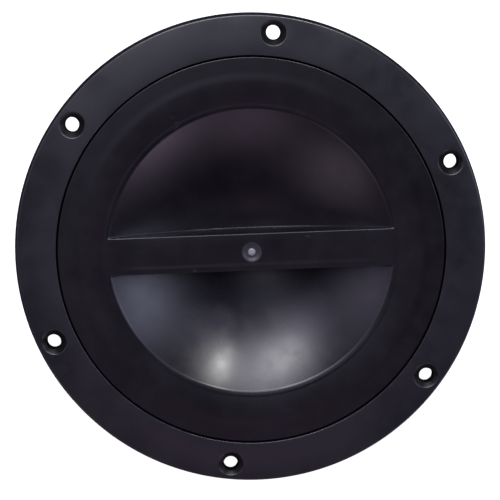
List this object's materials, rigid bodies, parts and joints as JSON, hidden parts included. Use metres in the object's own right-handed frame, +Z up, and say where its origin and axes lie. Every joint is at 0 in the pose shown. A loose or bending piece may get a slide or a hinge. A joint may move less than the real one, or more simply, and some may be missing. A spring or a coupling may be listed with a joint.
{
  "type": "deck hatch",
  "caption": "Round screw-in deck hatch: flanged mounting ring with countersunk screw holes and a lid that screws out by a grip bar across its finger bowl.",
  "frame": {"origin": "centre of the deck cut-out, on the deck's surface, which is the underside of the deck gasket", "axes": "+Z up out of the deck along the lid's screw axis; +X along the grip bar with the lid screwed down; the first screw hole is 22.4 degrees from +X towards +Y"},
  "size_m": [0.165, 0.165, 0.0258],
  "materials": {
    "ring_plastic": "black moulded plastic, satin to semi-gloss",
    "lid_plastic": "black moulded plastic, satin to semi-gloss",
    "seal_rubber": "smooth black nitrile O-ring",
    "gasket_rubber": "closed-cell black sheet rubber"
  },
  "bodies": {
    "mounting_ring": {"mounting_ring": "ring_plastic", "deck_gasket": "gasket_rubber"},
    "lid_seal": {"lid_seal": "seal_rubber"},
    "lid": {"lid": "lid_plastic"}
  },
  "joints": [
    {"name": "lid_rise", "type": "slide", "parent": "mounting_ring", "child": "lid_seal", "axis": [0, 0, 1], "range_m": [0, 0.0106]},
    {"name": "lid_turn", "type": "hinge", "parent": "lid_seal", "child": "lid", "pos_m": [0, 0, 0], "axis": [0, 0, 1], "range_deg": [0, 756]}
  ],
  "couplings": [
    {"joint": "lid_rise", "follows": "lid_turn", "m_per_rad": 0.00079577}
  ]
}
